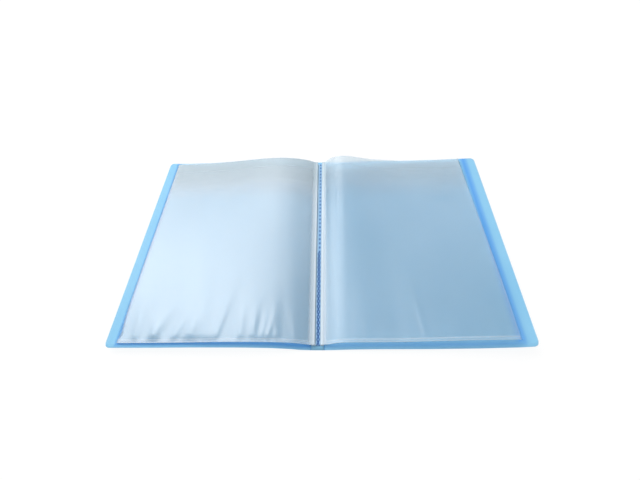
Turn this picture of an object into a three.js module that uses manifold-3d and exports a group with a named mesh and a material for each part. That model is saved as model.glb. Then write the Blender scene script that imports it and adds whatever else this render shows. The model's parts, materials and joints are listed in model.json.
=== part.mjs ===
// An A4 pocket display book, lying open at its middle: a creased sheet cover,
// a knurled weld down the spine, and ten clear pockets on each side of it.
//
// Millimetres. X runs across the open book, Y from the pockets' sealed ends to
// their open mouths, and Z up from the table that the spine lies on.

import * as THREE from 'three';
import Module from 'manifold-3d';
import { mergeVertices } from 'three/addons/utils/BufferGeometryUtils.js';

// Cover: one sheet, scored into two panels and a spine.
const COVER_HEIGHT = 310;
const COVER_THICKNESS = 0.8;
const PANEL_WIDTH = 238;
const PANEL_CORNER_RADIUS = 6;
const SPINE_WIDTH = 16;
const CREASE_HALF_GAP = 0.15;

// The creases spring back a little, so both sides of the open book rise outwards.
const RISE = THREE.MathUtils.degToRad(2);

// Pockets: two films each, sealed on three sides and open at the far end. The
// weld lies a little off the middle of the sheets, so the front pockets are wider.
const POCKETS_PER_SIDE = 10;
const FRONT_POCKET_WIDTH = 229;
const BACK_POCKET_WIDTH = 221;
const POCKET_HEIGHT = 301;
const POCKET_CORNER_RADIUS = 2.5;
const FILM_THICKNESS = 0.1;
const POCKET_DEPTH = 0.2;
const SEAL_WIDTH = 3;
const SEAL_CLEARANCE = 0.05;

// Roots: each pocket hinges on a line one step in and one step up from the last.
const ROOT_STEP = 0.5;
const LOWEST_ROOT_X = 7.7;
const LOWEST_ROOT_Z = 1.2;

// Binding: the weld in the valley, and the stack of margins on each side of it.
const LAY_GAP = 0.05;
const WELD_WIDTH = 6.4;
const WELD_TOP_Z = 2.3;
const WELD_LENGTH = 300;
const STACK_GAP = 0.3;
const STACK_TOP_Z = 2.5;
const STACK_CLEARANCE = 0.7;

const SIDES = [
  { name: 'front', across: -1, pocketWidth: FRONT_POCKET_WIDTH },
  { name: 'back', across: 1, pocketWidth: BACK_POCKET_WIDTH },
];

const wasm = await Module();
wasm.setup();

// Materials -----------------------------------------------------------------

function coverMaterial() {
  return new THREE.MeshStandardMaterial({
    color: 0x8fcdf2, roughness: 0.42, metalness: 0, transparent: true, opacity: 0.85,
  });
}

function filmMaterial() {
  return new THREE.MeshStandardMaterial({
    color: 0xeaf5fb, roughness: 0.15, metalness: 0, transparent: true, opacity: 0.35,
  });
}

function weldMaterial() {
  return new THREE.MeshStandardMaterial({ color: 0x6ea9dc, roughness: 0.5, metalness: 0 });
}

function marginMaterial() {
  return new THREE.MeshStandardMaterial({ color: 0xd9e9f5, roughness: 0.3, metalness: 0 });
}

// Shared shapes -------------------------------------------------------------

// A rectangle from the Y axis out to width, with its two far corners rounded.
function sheetOutline(width, height, radius) {
  const half = height / 2;
  const outline = new THREE.Shape();
  outline.moveTo(0, -half);
  outline.lineTo(width - radius, -half);
  outline.absarc(width - radius, -half + radius, radius, -Math.PI / 2, 0, false);
  outline.lineTo(width, half - radius);
  outline.absarc(width - radius, half - radius, radius, 0, Math.PI / 2, false);
  outline.lineTo(0, half);
  outline.closePath();
  return outline;
}

function sheetGeometry(width, height, radius, thickness) {
  const outline = sheetOutline(width, height, radius);
  return new THREE.ExtrudeGeometry(outline, {
    depth: thickness, bevelEnabled: false, curveSegments: 6,
  });
}

function boxFrom(low, high) {
  const size = new THREE.Vector3().subVectors(high, low);
  const middle = new THREE.Vector3().addVectors(low, high).multiplyScalar(0.5);
  return new THREE.BoxGeometry(size.x, size.y, size.z).translate(middle.x, middle.y, middle.z);
}

function toSolid(geometry) {
  const bare = geometry.clone();
  bare.deleteAttribute('normal');
  bare.deleteAttribute('uv');
  const merged = mergeVertices(bare, 1e-5);
  return new wasm.Manifold(new wasm.Mesh({
    numProp: 3,
    vertProperties: new Float32Array(merged.attributes.position.array),
    triVerts: new Uint32Array(merged.index.array),
  }));
}

function toGeometry(solid) {
  const mesh = solid.getMesh();
  const geometry = new THREE.BufferGeometry();
  geometry.setAttribute('position', new THREE.BufferAttribute(mesh.vertProperties, 3));
  geometry.setIndex(new THREE.BufferAttribute(mesh.triVerts, 1));
  geometry.computeVertexNormals();
  return geometry;
}

function namedMesh(name, geometry, material) {
  const mesh = new THREE.Mesh(geometry, material);
  mesh.name = name;
  return mesh;
}

// A half turn about Z carries a piece drawn towards +X over to the other side.
function facing(side, object) {
  object.rotation.z = side.across < 0 ? Math.PI : 0;
  return object;
}

// Turns pieces drawn flat towards +X up by the rise, about the line at (x, z).
function risingFrom(side, x, z, ...pieces) {
  const tilted = new THREE.Group();
  tilted.rotation.y = -RISE;
  tilted.add(...pieces);
  const group = new THREE.Group();
  group.position.set(side.across * x, 0, z);
  group.add(tilted);
  return facing(side, group);
}

// Cover ---------------------------------------------------------------------

// A panel folds about the line where its inner face meets the crease.
function coverPanel(side) {
  const width = PANEL_WIDTH - CREASE_HALF_GAP;
  const panel = namedMesh(
    `${side.name}_cover_panel`,
    sheetGeometry(width, COVER_HEIGHT, PANEL_CORNER_RADIUS, COVER_THICKNESS),
    coverMaterial(),
  );
  panel.position.set(CREASE_HALF_GAP, 0, -COVER_THICKNESS);
  return risingFrom(side, SPINE_WIDTH / 2, COVER_THICKNESS, panel);
}

function spinePanel() {
  const width = SPINE_WIDTH - 2 * CREASE_HALF_GAP;
  const panel = namedMesh(
    'spine_panel',
    new THREE.BoxGeometry(width, COVER_HEIGHT, COVER_THICKNESS),
    coverMaterial(),
  );
  panel.position.z = COVER_THICKNESS / 2;
  return panel;
}

// Binding -------------------------------------------------------------------

function weldStrip() {
  const low = COVER_THICKNESS + LAY_GAP;
  const strip = namedMesh(
    'weld_strip',
    new THREE.BoxGeometry(WELD_WIDTH, WELD_LENGTH, WELD_TOP_Z - low),
    weldMaterial(),
  );
  strip.position.z = (WELD_TOP_Z + low) / 2;
  return strip;
}

// The margins of a side's pockets, pressed into one stack whose outer face
// slopes with the steps of the pockets' roots.
function rootStack(side) {
  const low = COVER_THICKNESS + LAY_GAP;
  const inner = WELD_WIDTH / 2 + STACK_GAP;
  const slopeStart = LOWEST_ROOT_X + LOWEST_ROOT_Z - STACK_CLEARANCE;
  const section = new THREE.Shape();
  section.moveTo(inner, low);
  section.lineTo(slopeStart - low, low);
  section.lineTo(slopeStart - STACK_TOP_Z, STACK_TOP_Z);
  section.lineTo(inner, STACK_TOP_Z);
  section.closePath();
  const geometry = new THREE.ExtrudeGeometry(section, {
    depth: WELD_LENGTH, bevelEnabled: false,
  });
  geometry.rotateX(Math.PI / 2);
  geometry.translate(0, WELD_LENGTH / 2, 0);
  const stack = namedMesh(`${side.name}_root_stack`, geometry, marginMaterial());
  return facing(side, stack);
}

// Pockets -------------------------------------------------------------------

function pocketSheet(side, thickness) {
  return sheetGeometry(side.pocketWidth, POCKET_HEIGHT, POCKET_CORNER_RADIUS, thickness);
}

// The lower film carries the heat seal, a low rim on its two sides and one end.
// The sealed end faces the reader, which is -Y on the back side's own axes and
// +Y on the front side's, because those are half a turn round.
function lowerFilmGeometry(side) {
  const film = toSolid(pocketSheet(side, FILM_THICKNESS));
  const rimTop = FILM_THICKNESS + POCKET_DEPTH - SEAL_CLEARANCE;
  const rim = toSolid(pocketSheet(side, rimTop));
  const half = POCKET_HEIGHT / 2;
  const mouth = half + SEAL_WIDTH;
  const bottom = half - SEAL_WIDTH;
  const hollow = toSolid(boxFrom(
    new THREE.Vector3(SEAL_WIDTH, side.across > 0 ? -bottom : -mouth, FILM_THICKNESS),
    new THREE.Vector3(
      side.pocketWidth - SEAL_WIDTH, side.across > 0 ? mouth : bottom, 2 * rimTop,
    ),
  ));
  return toGeometry(film.add(rim.subtract(hollow)));
}

// Number 1 lies next to the cover, and the last is the page that shows.
function pocket(side, number) {
  const label = `${side.name}_pocket_${String(number).padStart(2, '0')}`;
  const step = (number - 1) * ROOT_STEP;
  const lower = namedMesh(`${label}_lower_film`, lowerFilmGeometry(side), filmMaterial());
  const upper = namedMesh(
    `${label}_upper_film`, pocketSheet(side, FILM_THICKNESS), filmMaterial(),
  );
  upper.position.z = FILM_THICKNESS + POCKET_DEPTH;
  return risingFrom(side, LOWEST_ROOT_X - step, LOWEST_ROOT_Z + step, lower, upper);
}

// Assembly ------------------------------------------------------------------

function displayBook() {
  const book = new THREE.Group();
  book.add(spinePanel(), weldStrip());
  for (const side of SIDES) {
    book.add(coverPanel(side), rootStack(side));
    for (let number = 1; number <= POCKETS_PER_SIDE; number += 1) {
      book.add(pocket(side, number));
    }
  }
  return book;
}

export default displayBook();
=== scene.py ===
"""The open display book's looks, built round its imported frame.

Metres in the frame's own axes: X across the open book, Y from the pockets'
sealed ends to their open mouths, Z up. Heights and widths of the soft shapes
are given in millimetres and scaled once, where a mesh is made.
"""

import json
import math

import bpy
import numpy as np
from mathutils import Matrix, Vector


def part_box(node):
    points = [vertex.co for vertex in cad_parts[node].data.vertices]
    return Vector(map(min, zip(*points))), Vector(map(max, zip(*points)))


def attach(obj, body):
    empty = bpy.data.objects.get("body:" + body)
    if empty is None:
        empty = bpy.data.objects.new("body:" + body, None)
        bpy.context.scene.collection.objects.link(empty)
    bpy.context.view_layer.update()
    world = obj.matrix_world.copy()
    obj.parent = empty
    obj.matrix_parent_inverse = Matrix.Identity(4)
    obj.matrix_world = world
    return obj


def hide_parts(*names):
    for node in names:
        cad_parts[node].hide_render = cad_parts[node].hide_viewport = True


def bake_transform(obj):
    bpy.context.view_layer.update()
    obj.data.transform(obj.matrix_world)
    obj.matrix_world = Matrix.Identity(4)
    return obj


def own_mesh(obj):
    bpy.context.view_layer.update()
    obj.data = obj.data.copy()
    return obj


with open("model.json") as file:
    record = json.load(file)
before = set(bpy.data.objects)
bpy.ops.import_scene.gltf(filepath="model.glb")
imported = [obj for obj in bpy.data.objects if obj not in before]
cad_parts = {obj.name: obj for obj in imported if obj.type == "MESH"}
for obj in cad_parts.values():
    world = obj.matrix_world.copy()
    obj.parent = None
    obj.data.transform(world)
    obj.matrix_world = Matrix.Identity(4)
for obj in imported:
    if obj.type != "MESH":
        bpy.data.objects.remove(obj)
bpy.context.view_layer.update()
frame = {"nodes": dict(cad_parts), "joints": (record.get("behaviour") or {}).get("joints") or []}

MM = 0.001
SIDES = {"front": -1, "back": 1}
HINGES = {joint["child"]: np.array(joint["pos_m"]) / MM for joint in frame["joints"]}

# The number of the pocket whose upper film is the open page.
TOP = 10

# ---------------------------------------------------------------- dimensions

cover_low, cover_high = (np.array(v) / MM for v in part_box("back_cover_panel"))
spine_low, spine_high = (np.array(v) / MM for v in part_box("spine_panel"))
weld_low, weld_high = (np.array(v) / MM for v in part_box("weld_strip"))

SHEET = spine_high[2] - spine_low[2]
CREASE_X = HINGES["back_cover"][0]
RISE = math.asin((cover_high[2] - SHEET) / (cover_high[0] - CREASE_X))
PANEL_WIDTH = (cover_high[0] - CREASE_X) / math.cos(RISE)
COVER_Y = (cover_low[1], cover_high[1])
CORNER_RADIUS = 6.0
CREASE_HALF_WIDTH = 0.9
CREASE_DEPTH = 0.32
CREASE_THICKNESS = 0.4

# From one pocket to the next in the stack, and from film to film in a pocket.
LEAF_PITCH = 0.19
STACK_CLEARANCE = 0.15
FILM_GAP = 0.09
SEAL_GAP = 0.03
TOP_MOUTH_GAPE = 0.5
LOWER_MOUTH_GAPE = 0.05

# The heat seals across the near end and down both sides.
BOTTOM_SEAL = 3.6
SIDE_SEAL = 3.0

# A film leaves its root this far up, and joins the page's shape over this run.
ROOT_RISE = 0.2
ROOT_RUN = 13

DIMPLE_X = 177.5
DIMPLE_Y = 69.0

# The weld's marks: a chain up to this y, and dots beyond it.
MARK_PITCH = 7.0
CHAIN_END_Y = -20
CHAIN_X = 0.4
DOTS_X = 1.1
KNURL_PITCH = 2.1
WELD_THICKNESS = 0.7

POCKET_ROOT_X = abs(HINGES["back_pocket_10"][0])

pocket_width = {}
for side_name in SIDES:
    film_low, film_high = (np.array(v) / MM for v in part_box(f"{side_name}_pocket_10_upper_film"))
    pocket_width[side_name] = (film_high[0] - film_low[0]) / math.cos(RISE)
POCKET_Y = (film_low[1], film_high[1])

# Heights above the table of the upper faces, as (distance from the spine's
# middle, height), at the sealed near end and at the open far end.
COVER_SHAPE = {
    "front": (
        [
            (8, 0.8), (20, 1.8), (31, 4.8), (54, 8.0),
            (88, 9.6), (145, 9.7), (191, 8.6), (246, 8.2),
        ],
        [
            (8, 0.8), (30, 4.2), (60, 8.2), (97, 9.2), (122, 7.5),
            (147, 4.9), (181, 2.4), (214, 1.5), (246, 2.2),
        ],
    ),
    "back": (
        [
            (8, 0.8), (20, 1.4), (37, 3.2), (71, 4.4),
            (127, 5.0), (182, 7.2), (225, 10.8), (246, 14.4),
        ],
        [(8, 0.8), (60, 2.2), (130, 2.6), (190, 3.8), (222, 5.4), (246, 6.4)],
    ),
}
PAGE_SHAPE = {
    "front": (
        [
            (3.2, 6), (11, 6.8), (20, 10.2), (30, 12.8), (50, 14.6),
            (75, 15.4), (115, 14.8), (173, 11.8), (232, 10.4),
        ],
        [
            (3.2, 6), (11, 8.0), (24, 12.0), (40, 15.2), (60, 16.8),
            (88, 15.6), (130, 10.5), (163, 7.1), (197, 4.6), (232, 3.8),
        ],
    ),
    "back": (
        [
            (3.2, 6), (12, 7.0), (22, 11.8), (31, 13.4), (92, 14.8),
            (135, 18.0), (177, 21.2), (218, 23.0), (230, 23.0),
        ],
        [
            (3.2, 6), (9, 9.0), (16, 13.6), (24, 17.4), (33, 19.4),
            (48, 18.2), (80, 11.3), (129, 6.7), (177, 7.2), (219, 9.8),
        ],
    ),
}

# How far, in millimetres, the corners between those points are rounded.
COVER_SOFTNESS = 6
PAGE_SOFTNESS = {"front": 13, "back": 8}
CURVE_STEP = 0.5

# The wrinkles' random seeds, and their strength next to the heights drawn.
WRINKLE_COUNT = 22
WRINKLE_SEED = {"front": 7, "back": 19}
WRINKLE_STRENGTH = {"front": 1.0, "back": 0.12}


# --------------------------------------------------------------- soft shapes


def smooth_step(x):
    x = np.clip(x, 0, 1)
    return x * x * (3 - 2 * x)


def bump(x, middle, width):
    return np.exp(-(((x - middle) / width) ** 2))


def smooth_curve(points, softness):
    """A function through about these points, with its corners rounded."""
    at, height = np.array(points, float).T
    fine = np.arange(at[0], at[-1] + CURVE_STEP, CURVE_STEP)
    line = np.interp(fine, at, height)
    reach = int(softness / CURVE_STEP)
    before = 2 * line[0] - line[reach:0:-1]
    after = 2 * line[-1] - line[-2 : -reach - 2 : -1]
    padded = np.concatenate([before, line, after])
    window = np.hanning(2 * reach + 3)[1:-1]
    soft = np.convolve(padded, window / window.sum(), mode="valid")
    return lambda d: np.interp(d, fine, soft)


def surface(shape, softness):
    """Height at distance d from the spine's middle and share t of the length."""
    near, far = (smooth_curve(points, softness) for points in shape)
    return lambda d, t: near(d) * (1 - t) + far(d) * t


cover_height = {side: surface(COVER_SHAPE[side], COVER_SOFTNESS) for side in SIDES}
page_profile = {side: surface(PAGE_SHAPE[side], PAGE_SOFTNESS[side]) for side in SIDES}


def page_height(side, d, t):
    """The top page, kept clear of the cover by the thickness of the stack."""
    stack = TOP * LEAF_PITCH + STACK_CLEARANCE
    page = page_profile[side](d, smooth_step(t * 0.9 + 0.05))
    floor = cover_height[side](d, t) + stack * smooth_step((d - CREASE_X) / 20)
    return 0.5 * (page + floor + np.sqrt((page - floor) ** 2 + 0.6))


def wrinkles(side, d, t):
    """Soft ridges that fan out from the sealed end, stronger on the front."""
    rng = np.random.default_rng(WRINKLE_SEED[side])
    total = np.zeros(np.broadcast(d, t).shape)
    for _ in range(WRINKLE_COUNT):
        foot = rng.uniform(16, 218)
        lean = rng.uniform(-90, 60)
        width = rng.uniform(4, 10)
        height = rng.uniform(0.4, 1.2) * (1 + foot / 400)
        length = rng.uniform(0.12, 0.42)
        ridge = bump(d, foot + lean * t, width * (0.5 + 4 * t))
        total += height * ridge * smooth_step(1 - t / length) * smooth_step(t / 0.03)
    return WRINKLE_STRENGTH[side] * total


def dimple(d, t):
    """A small crescent pucker in the back's pages."""
    along = d - DIMPLE_X
    y = POCKET_Y[0] + t * (POCKET_Y[1] - POCKET_Y[0]) - DIMPLE_Y - along**2 / 60
    return 0.9 * bump(along, 0, 9) * bump(y, 0, 3)


def leaf_height(side, number, d, t):
    """The middle surface of a pocket, numbered from the cover up."""
    below = TOP - number
    root = np.abs(HINGES[f"{side}_pocket_{number:02d}"])
    bundle = page_height(side, d, t) - below * LEAF_PITCH
    bundle = bundle + wrinkles(side, d, t) * 0.86**below
    if side == "back":
        bundle = bundle + dimple(d, t) * 0.7**below
    start = root[2] + ROOT_RISE
    return start + (bundle - start) * smooth_step((d - root[0]) / ROOT_RUN)


def along_film(height, start, stations):
    """Distances from the spine at which a film has run these lengths."""
    d = np.arange(start, start + stations[-1] + 1, CURVE_STEP)
    z = height(d)
    run = np.concatenate([[0], np.cumsum(np.hypot(np.diff(d), np.diff(z)))])
    return np.interp(stations, run, d)


# -------------------------------------------------------------------- meshes


def grid_faces(rows, columns, first=0, flip=False):
    """The quads of a grid whose points are numbered row by row."""
    faces = []
    for r in range(rows - 1):
        for c in range(columns - 1):
            a = first + r * columns + c
            quad = (a, a + 1, a + columns + 1, a + columns)
            faces.append(quad[::-1] if flip else quad)
    return faces


def make_mesh(name, points, faces, material, smooth=True):
    """A mesh object from points in millimetres."""
    mesh = bpy.data.meshes.new(name)
    mesh.from_pydata([tuple(p) for p in np.asarray(points) * MM], [], faces)
    mesh.validate()
    if smooth:
        mesh.shade_smooth()
    mesh.materials.append(material)
    made = bpy.data.objects.new(name, mesh)
    bpy.context.scene.collection.objects.link(made)
    return made


def add_values(made, name, values):
    attribute = made.data.attributes.new(name, "FLOAT", "POINT")
    attribute.data.foreach_set("value", np.asarray(values, np.float32).ravel())


def thicken(piece, thickness):
    """Gives a sheet its thickness, below the face that was made."""
    modifier = piece.modifiers.new("thickness", "SOLIDIFY")
    modifier.thickness = thickness * MM
    modifier.offset = -1
    return modifier


def flatten_with_cover(piece):
    """Gives the piece a mesh of its own, and does nothing to flatten it."""
    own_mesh(piece)


# ----------------------------------------------------------------- materials


def new_material(name):
    material = bpy.data.materials.new(name)
    material.use_nodes = True
    material.node_tree.nodes.clear()
    return material, material.node_tree.nodes, material.node_tree.links


def add(nodes, kind, **values):
    """A node with its input sockets set by name."""
    node = nodes.new("ShaderNode" + kind)
    for key, value in values.items():
        node.inputs[key.replace("_", " ")].default_value = value
    return node


def math_node(nodes, links, operation, a, b):
    node = nodes.new("ShaderNodeMath")
    node.operation = operation
    for socket, value in zip(node.inputs, (a, b)):
        if isinstance(value, (int, float)):
            socket.default_value = value
        else:
            links.new(value, socket)
    return node.outputs[0]


def multiply_add(nodes, links, value, factor, offset):
    node = nodes.new("ShaderNodeMath")
    node.operation = "MULTIPLY_ADD"
    links.new(value, node.inputs[0])
    node.inputs[1].default_value = factor
    node.inputs[2].default_value = offset
    return node.outputs[0]


def mix_shader(nodes, links, share, first, second):
    node = nodes.new("ShaderNodeMixShader")
    links.new(share, node.inputs[0])
    links.new(first, node.inputs[1])
    links.new(second, node.inputs[2])
    return node.outputs[0]


def mix_colour(nodes, links, share, first, second):
    """The first colour, turning into the fixed second one with the share."""
    node = nodes.new("ShaderNodeMix")
    node.data_type = "RGBA"
    links.new(share, node.inputs["Factor"])
    links.new(first, node.inputs["A"])
    node.inputs["B"].default_value = (*second, 1)
    return node.outputs["Result"]


def attribute(nodes, name):
    """A value that the mesh carries at its points."""
    node = nodes.new("ShaderNodeAttribute")
    node.attribute_name = name
    return node.outputs["Fac"]


def to_output(nodes, links, shader):
    out = nodes.new("ShaderNodeOutputMaterial")
    links.new(shader, out.inputs["Surface"])


def noise(nodes, links, scale, detail, stretch=(1, 1, 1)):
    """Noise in the object's own space; scale is in cycles per metre."""
    place = nodes.new("ShaderNodeTexCoord")
    mapping = nodes.new("ShaderNodeMapping")
    mapping.inputs["Scale"].default_value = stretch
    links.new(place.outputs["Object"], mapping.inputs["Vector"])
    made = add(nodes, "TexNoise", Scale=scale, Detail=detail)
    links.new(mapping.outputs["Vector"], made.inputs["Vector"])
    return made.outputs["Fac"]


def bump_node(nodes, links, height, distance, strength):
    node = add(nodes, "Bump", Strength=strength, Distance=distance)
    links.new(height, node.inputs["Height"])
    return node.outputs["Normal"]


def ramp(nodes, links, value, stops):
    node = nodes.new("ShaderNodeValToRGB")
    elements = node.color_ramp.elements
    while len(elements) < len(stops):
        elements.new(0.5)
    for element, (at, colour) in zip(elements, stops):
        element.position = at
        element.color = (*colour, 1)
    links.new(value, node.inputs["Fac"])
    return node.outputs["Color"]


def cover_material(name, shaded):
    """Frosted translucent polypropylene with a fine moulded grain, painted shade where the
    pockets' edges fall and a painted highlight along its cut edges.
    """
    material, nodes, links = new_material(name)
    grain = noise(nodes, links, 1400, 2)
    clouds = noise(nodes, links, 14, 4)
    body = add(nodes, "BsdfPrincipled", Roughness=0.5, IOR=1.49, Alpha=0.9)
    body.inputs["Specular IOR Level"].default_value = 0.3
    colour = ramp(nodes, links, clouds, [(0.3, (0.25, 0.585, 0.86)), (0.7, (0.285, 0.62, 0.88))])
    # Painted shade: deeper blue where the pockets' edges and the crease's groove keep the light
    # off.
    shade = multiply_add(nodes, links, attribute(nodes, "shade"), shaded, 0.0)
    colour = mix_colour(nodes, links, shade, colour, (0.06, 0.33, 0.86))
    # Painted highlight: a paler blue along the cut edges.
    rim_highlight = multiply_add(nodes, links, attribute(nodes, "rim_highlight"), 0.35, 0.0)
    colour = mix_colour(nodes, links, rim_highlight, colour, (0.55, 0.76, 0.92))
    links.new(colour, body.inputs["Base Color"])
    links.new(bump_node(nodes, links, grain, 0.00006, 0.6), body.inputs["Normal"])
    to_output(nodes, links, body.outputs["BSDF"])
    return material


def film_material(name, shine, milk, ripples):
    """Clear film: a little milky, whiter in its seals, with a painted veil of grey-blue haze near
    its mouth.
    """
    material, nodes, links = new_material(name)
    gloss = add(nodes, "BsdfGlossy", Roughness=0.38, Color=(1, 1, 1, 1))
    edge_on = add(nodes, "LayerWeight", Blend=0.5)
    if ripples:
        ripple = bump_node(nodes, links, noise(nodes, links, 22, 3, (1.0, 0.6, 1.0)), 0.0012, 0.35)
        links.new(ripple, gloss.inputs["Normal"])
        links.new(ripple, edge_on.inputs["Normal"])
    clear = add(nodes, "BsdfTransparent", Color=(1, 1, 1, 1))
    haze = add(nodes, "BsdfPrincipled", Roughness=0.5)
    # Painted light: toward the mouth the haze thickens and greys, a veil that stands in for the
    # light on the far ends.
    mouth = attribute(nodes, "mouth")
    tint = ramp(nodes, links, mouth, [(0.0, (0.70, 0.84, 0.95)), (0.6, (0.53, 0.68, 0.77))])
    links.new(tint, haze.inputs["Base Color"])
    painted_veil = multiply_add(nodes, links, mouth, 0.28, milk)
    sealed = multiply_add(nodes, links, attribute(nodes, "seal"), 0.45, 0.0)
    share = math_node(nodes, links, "ADD", painted_veil, sealed)
    inner = mix_shader(nodes, links, share, clear.outputs[0], haze.outputs[0])
    steep = math_node(nodes, links, "POWER", edge_on.outputs["Facing"], 5)
    reflected = multiply_add(nodes, links, steep, 0.9 * shine, 0.045 * shine)
    outer = mix_shader(nodes, links, reflected, inner, gloss.outputs[0])
    to_output(nodes, links, outer)
    return material


def stacked_film_material():
    """The same film pressed in the stack, where touching faces hardly reflect."""
    material, nodes, links = new_material("pocket_film_stacked")
    body = add(nodes, "BsdfPrincipled", Roughness=0.35, IOR=1.5, Alpha=0.02)
    cloud = attribute(nodes, "cloud")
    # Painted light: the haze's blue stands in for the cover's blue light carried through the
    # stack.
    colour = ramp(nodes, links, cloud, [(0.0, (0.19, 0.42, 0.62)), (1.0, (0.24, 0.47, 0.67))])
    links.new(colour, body.inputs["Base Color"])
    to_output(nodes, links, body.outputs["BSDF"])
    return material


def weld_material():
    """The knurled weld: pale on its ridges, with painted shade in the knurl's hollows, and dark
    where it is pressed through.
    """
    material, nodes, links = new_material("weld")
    grain = noise(nodes, links, 900, 2)
    body = add(nodes, "BsdfPrincipled", Roughness=0.38, IOR=1.49)
    stops = [
        (0.0, (0.60, 0.80, 0.96)),
        (0.4, (0.30, 0.60, 0.93)),
        (1.0, (0.01, 0.09, 0.36)),
    ]
    colour = ramp(nodes, links, attribute(nodes, "pressed"), stops)
    links.new(colour, body.inputs["Base Color"])
    links.new(bump_node(nodes, links, grain, 0.00005, 0.5), body.inputs["Normal"])
    to_output(nodes, links, body.outputs["BSDF"])
    return material


def margin_material():
    """The pressed film margins beside the weld: milky and striped by the layers."""
    material, nodes, links = new_material("pocket_margin")
    layers = noise(nodes, links, 500, 3, (1, 0.02, 6))
    body = add(nodes, "BsdfPrincipled", Roughness=0.3, IOR=1.5, Alpha=0.8)
    colour = ramp(nodes, links, layers, [(0.35, (0.62, 0.78, 0.92)), (0.65, (0.86, 0.93, 0.98))])
    links.new(colour, body.inputs["Base Color"])
    links.new(bump_node(nodes, links, layers, 0.0002, 0.5), body.inputs["Normal"])
    to_output(nodes, links, body.outputs["BSDF"])
    return material


# The inside faces carry the painted shade; the outside copy of the cover has none.
COVER = cover_material("cover_sheet", shaded=0.85)
COVER_OUTSIDE = cover_material("cover_sheet_outside", shaded=0.0)
TOP_FILM = film_material("pocket_film_top", shine=1.2, milk=0.02, ripples=True)
LOOSE_FILM = film_material("pocket_film_loose", shine=0.35, milk=0.03, ripples=False)
STACKED_FILM = stacked_film_material()
WELD = weld_material()
MARGIN = margin_material()


# --------------------------------------------------------------------- cover


def stations_with_fine_end(length, coarse, fine_length, fine):
    """Even stations, closer together over the last stretch."""
    start = np.linspace(0, length - fine_length, coarse + 1)[:-1]
    end = length - fine_length * np.cos(np.linspace(0, math.pi / 2, fine))
    return np.concatenate([start, end])


def cover_panel(side):
    """One bowed panel, from its crease to its rounded outer corners."""
    across = SIDES[side]
    stations = stations_with_fine_end(PANEL_WIDTH, 60, CORNER_RADIUS, 9)
    rows = np.linspace(-1, 1, 65)
    half = (COVER_Y[1] - COVER_Y[0]) / 2
    past = np.clip(stations - (PANEL_WIDTH - CORNER_RADIUS), 0, CORNER_RADIUS)
    reach = half - CORNER_RADIUS + np.sqrt(CORNER_RADIUS**2 - past**2)
    points = []
    for row in rows:
        share = (row + 1) / 2
        d = along_film(lambda x: cover_height[side](x, share), CREASE_X + 0.15, stations)
        z = cover_height[side](d, share)
        points += [(across * a, row * b, c) for a, b, c in zip(d, reach, z)]
    faces = grid_faces(len(rows), len(stations), flip=across < 0)
    panel = make_mesh(f"{side}_cover_sheet", points, faces, COVER)
    points = np.array(points)
    add_values(panel, "shade", cover_shade(side, points))
    add_values(panel, "rim_highlight", cover_rim_highlight(points, np.abs(points[:, 0]).max()))
    panel.data.materials.append(COVER_OUTSIDE)
    thickness = thicken(panel, SHEET)
    thickness.material_offset = 1
    thickness.material_offset_rim = 1
    edge = panel.modifiers.new("edge", "BEVEL")
    edge.width = 0.22 * MM
    edge.segments = 2
    edge.limit_method = "ANGLE"
    edge.angle_limit = math.radians(50)
    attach(panel, f"{side}_cover")
    flatten_with_cover(panel)
    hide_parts(f"{side}_cover_panel")


def cover_shade(side, points):
    """Painted shade: deeper blue where the pockets' edges keep the light off the cover."""
    lift, reach = (5, 1.8) if side == "back" else (0, 0.6)
    past_end = (POCKET_Y[0] + reach - points[:, 1]) / 3
    edge = POCKET_ROOT_X + pocket_width[side] + lift
    past_side = (np.abs(points[:, 0]) - edge) / (3 + lift)
    past = np.maximum(past_end, past_side)
    return np.where(past < 0, smooth_step(1 + past), smooth_step(1 - past))


def cover_rim_highlight(points, reach):
    """Painted highlight: paler along the cut edge, where the sheet pipes light."""
    return smooth_step(1 - (reach - np.abs(points[:, 0])) / 1.8)


def spine_sheet():
    """The flat spine between the creases."""
    xs = np.linspace(-CREASE_X + 0.7, CREASE_X - 0.7, 9)
    ys = np.linspace(COVER_Y[0], COVER_Y[1], 63)
    points = [(x, y, SHEET) for y in ys for x in xs]
    sheet = make_mesh("spine_sheet", points, grid_faces(len(ys), len(xs)), COVER)
    thicken(sheet, SHEET)
    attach(sheet, "spine")
    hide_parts("spine_panel")


def crease(side):
    """The scored living hinge: a thin grooved strip between spine and cover."""
    across = SIDES[side]
    u = np.linspace(-CREASE_HALF_WIDTH, CREASE_HALF_WIDTH, 13)
    groove = CREASE_DEPTH * np.cos(u / CREASE_HALF_WIDTH * math.pi / 2) ** 2
    ys = np.linspace(COVER_Y[0], COVER_Y[1], 63)
    top = [(across * (CREASE_X + a), y, SHEET - g) for y in ys for a, g in zip(u, groove)]
    strip = make_mesh(f"{side}_crease", top, grid_faces(len(ys), len(u), flip=across < 0), COVER)
    # Painted shade: darker blue down the middle of the scored groove.
    add_values(strip, "shade", np.tile(groove / groove.max(), len(ys)))
    thicken(strip, CREASE_THICKNESS)
    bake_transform(strip)


# ------------------------------------------------------------------- binding


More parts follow.
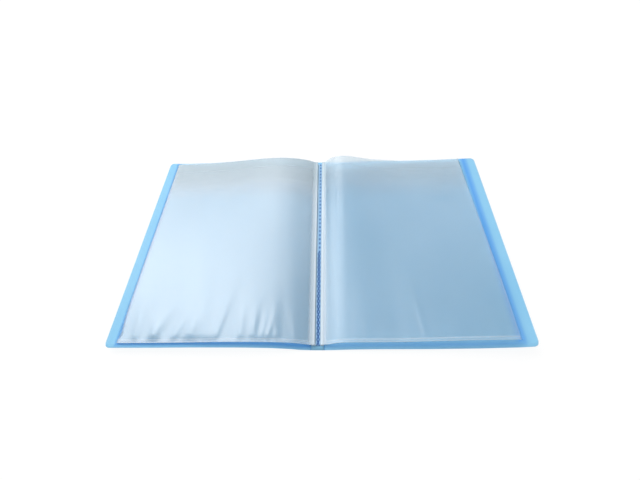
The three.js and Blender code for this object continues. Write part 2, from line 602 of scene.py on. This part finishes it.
def weld_strip():
    """The weld, knurled in a diamond pattern with a row of deeper marks."""
    half = (weld_high[0] - weld_low[0]) / 2
    xs = np.linspace(-half, half, 27)
    ys = np.linspace(weld_low[1], weld_high[1], 640)
    x, y = np.meshgrid(xs, ys)
    rising = np.sin(math.pi * (x + y) / KNURL_PITCH)
    falling = np.sin(math.pi * (x - y) / KNURL_PITCH)
    knurl = np.abs(rising * falling)
    along = (y - weld_low[1]) % MARK_PITCH / MARK_PITCH
    swing = 1.5 * np.abs(2 * along - 1)
    chain = np.maximum(bump(x - CHAIN_X, swing, 0.62), bump(x - CHAIN_X, -swing, 0.62))
    dots = bump(x, DOTS_X, 1.1) * bump(along, 0.5, 0.28)
    is_chain = smooth_step((CHAIN_END_Y - y) / 4)
    mark = chain * is_chain + dots * (1 - is_chain)
    band = smooth_step((2.5 - np.abs(x - CHAIN_X)) / 0.8) * (0.2 + 0.12 * is_chain)
    edge = smooth_step((half - np.abs(x)) / 0.6)
    z = weld_high[2] - 0.5 + (0.35 * knurl - 0.5 * mark) * edge - 0.6 * (1 - edge)
    points = np.stack([x, y, z], -1).reshape(-1, 3)
    strip = make_mesh("weld_knurl", points, grid_faces(len(ys), len(xs)), WELD)
    # Painted shade: the knurl's hollows are a little darker.
    add_values(strip, "pressed", np.clip(band + 0.15 * (1 - knurl) + mark, 0, 1))
    thicken(strip, WELD_THICKNESS)
    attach(strip, "spine")
    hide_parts("weld_strip")


def margins():
    """The pressed margins keep their shape and take the film's milky look."""
    for side in SIDES:
        node = frame["nodes"][f"{side}_root_stack"]
        node.data.materials.clear()
        node.data.materials.append(MARGIN)


# ------------------------------------------------------------------- pockets


def pocket_gap(s, t, number):
    """How far apart the two films are: closed at the seals, open at the mouth."""
    length = POCKET_Y[1] - POCKET_Y[0]
    inside = smooth_step((s - SIDE_SEAL) / 4) * smooth_step((s[-1] - SIDE_SEAL - s) / 4)
    inside = inside * smooth_step((t * length - BOTTOM_SEAL) / 4)
    mouth = smooth_step((t - 0.86) / 0.14)
    gape = TOP_MOUTH_GAPE if number == TOP else LOWER_MOUTH_GAPE
    return SEAL_GAP + inside * (FILM_GAP - SEAL_GAP + gape * mouth)


def seal_share(side, s, t):
    """How much of the heat seal's milkiness each point has."""
    length = (POCKET_Y[1] - POCKET_Y[0]) * t
    bottom = bump(length, 0.3, 0.6) + bump(length, BOTTOM_SEAL, 0.7)
    bottom = (bottom + 0.2 * (length < BOTTOM_SEAL)) * (0.25 if side == "front" else 0.5)
    inner = 0.75 * smooth_step((7.5 - s) / 3) + 0.25 * bump(s, 1.2, 0.9)
    inner = inner - 0.3 * bump(s, 3.6, 0.8)
    outer = 0.2 * smooth_step((s - s[-1] + 1.2) / 0.6)
    mouth = 0.3 * smooth_step((t - 1) * 300 + 1.4)
    strongest = np.max(np.broadcast_arrays(bottom, inner, outer, mouth), axis=0)
    return np.clip(strongest, 0, 1)


def pocket_stations(side, number):
    """Where the film's grid lines lie, finer on the page that shows."""
    across, along = (150, 130) if number == TOP else (56, 44)
    s = np.concatenate([np.linspace(0, 4, 6)[:-1], np.linspace(4, pocket_width[side], across)])
    length = POCKET_Y[1] - POCKET_Y[0]
    start = np.linspace(0, 6, 13)[:-1] / length
    t = np.concatenate([start, np.linspace(6 / length, 1, along)])
    return s, t


def pocket(side, number):
    """One clear pocket: two films joined by seals on three sides."""
    across = SIDES[side]
    label = f"{side}_pocket_{number:02d}"
    root = HINGES[label]
    rng = np.random.default_rng(100 * number + (0 if across < 0 else 1))
    trim = rng.uniform(-0.5, 0.3)
    s, t = pocket_stations(side, number)
    upper, lower, share = [], [], []
    for at in t:
        stations = s + trim * s / s[-1]
        d = along_film(lambda x: leaf_height(side, number, x, at), abs(root[0]), stations)
        z = leaf_height(side, number, d, at)
        gap = pocket_gap(s, at, number)
        y = POCKET_Y[0] + at * (POCKET_Y[1] - POCKET_Y[0])
        upper += [(across * a, y, b + c) for a, b, c in zip(d, z, gap / 2)]
        lower += [(across * a, y, b - c) for a, b, c in zip(d, z, gap / 2)]
        share += list(seal_share(side, s, at))
    rows, columns = len(t), len(s)
    count = rows * columns
    faces = grid_faces(rows, columns, flip=across < 0)
    faces += grid_faces(rows, columns, first=count, flip=across > 0)
    faces += side_walls(rows, columns, across)
    piece = make_mesh(f"{label}_film", upper + lower, faces, film_for(side, number))
    add_values(piece, "seal", share + share)
    # Painted veil: these mouth values thicken the film's haze toward the open end.
    painted_veil = np.repeat(smooth_step((t - 0.72) / 0.28), columns)
    add_values(piece, "mouth", np.tile(painted_veil, 2))
    x, y, _ = (np.array(upper + lower) * MM).T
    add_values(piece, "cloud", 0.5 + 0.5 * np.sin(60 * x) * np.sin(45 * y + x * 20))
    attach(piece, label)
    flatten_with_cover(piece)
    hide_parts(f"{label}_lower_film", f"{label}_upper_film")


def film_for(side, number):
    """The front's two next pockets can lie as the open page too."""
    if number == TOP:
        return TOP_FILM
    return LOOSE_FILM if side == "front" and number > TOP - 3 else STACKED_FILM


def side_walls(rows, columns, across):
    """Quads that join the upper film to the lower along the three sealed edges."""
    count = rows * columns
    near = list(range(columns))
    inner = [r * columns for r in range(rows)]
    outer = [r * columns + columns - 1 for r in range(rows)]
    faces = []
    for edge, turned in ((near, False), (inner, True), (outer, False)):
        for a, b in zip(edge, edge[1:]):
            quad = (a, a + count, b + count, b)
            faces.append(quad if turned == (across < 0) else quad[::-1])
    return faces


# --------------------------------------------------------------------- stage


def floor():
    """A plain pale floor, bright enough to stay white round the book."""
    material, nodes, links = new_material("stage_floor")
    body = add(nodes, "BsdfDiffuse", Color=(0.12, 0.12, 0.12, 1))
    glow = add(nodes, "Emission", Color=(1, 1, 1, 1), Strength=0.9)
    both = nodes.new("ShaderNodeAddShader")
    links.new(body.outputs[0], both.inputs[0])
    links.new(glow.outputs[0], both.inputs[1])
    to_output(nodes, links, both.outputs[0])
    half, drop = 6000, -0.05
    points = [(-half, -half, drop), (half, -half, drop), (half, half, drop), (-half, half, drop)]
    make_mesh("floor", points, [(0, 1, 2, 3)], material, smooth=False)


def area_light(name, place, target, size, power):
    light = bpy.data.lights.new(name, "AREA")
    light.shape = "RECTANGLE"
    light.size, light.size_y = size
    light.energy = power
    made = bpy.data.objects.new(name, light)
    made.location = place
    made.rotation_euler = (Vector(target) - Vector(place)).to_track_quat("-Z", "Y").to_euler()
    bpy.context.scene.collection.objects.link(made)


def lights():
    """Soft panels above and beyond the open mouths, and an even white world."""
    world = bpy.data.worlds.new("studio")
    world.use_nodes = True
    background = world.node_tree.nodes["Background"]
    background.inputs["Color"].default_value = (1, 1, 1, 1)
    background.inputs["Strength"].default_value = 0.5
    bpy.context.scene.world = world
    left_page = (-0.13, 0, 0)
    area_light("softbox_left", (-1.9, 1.1, 1.6), left_page, (1.1, 2.5), 28)
    area_light("softbox_centre", (-1.1, 1.15, 1.8), left_page, (0.6, 2.4), 10.5)
    area_light("softbox_right", (-0.38, 1.2, 1.95), left_page, (0.9, 2.2), 13)
    area_light("back_panel", (0.4, 2.3, 1.8), (0.1, 0, 0), (3.4, 1.2), 19)


def camera():
    """Above and in front of the book, looking down over its sealed end."""
    data = bpy.data.cameras.new("camera")
    data.sensor_width = 36
    data.lens = 20.71125
    made = bpy.data.objects.new("camera", data)
    place = (0.01446, -0.29629, 0.41818)
    yaw, pitch, roll = math.radians(-2.56), math.radians(54.62), math.radians(-2.47)
    level = Vector((math.sin(yaw), math.cos(yaw), 0))
    forward = level * math.cos(pitch) - Vector((0, 0, math.sin(pitch)))
    right = Vector((math.cos(yaw), -math.sin(yaw), 0))
    up = right.cross(forward)
    rolled_right = right * math.cos(roll) + up * math.sin(roll)
    rolled_up = up * math.cos(roll) - right * math.sin(roll)
    turn = Matrix((rolled_right, rolled_up, -forward)).transposed()
    made.matrix_world = Matrix.Translation(place) @ turn.to_4x4()
    bpy.context.scene.collection.objects.link(made)
    bpy.context.scene.camera = made


# ---------------------------------------------------------------------- make

spine_sheet()
for cover_side in SIDES:
    cover_panel(cover_side)
    crease(cover_side)
    for leaf in range(1, TOP + 1):
        pocket(cover_side, leaf)
weld_strip()
margins()
floor()
lights()
camera()

scene = bpy.context.scene
scene.view_settings.view_transform = "Standard"
scene.cycles.transparent_max_bounces = 64
scene.cycles.max_bounces = 4
scene.cycles.diffuse_bounces = 2
scene.cycles.glossy_bounces = 2
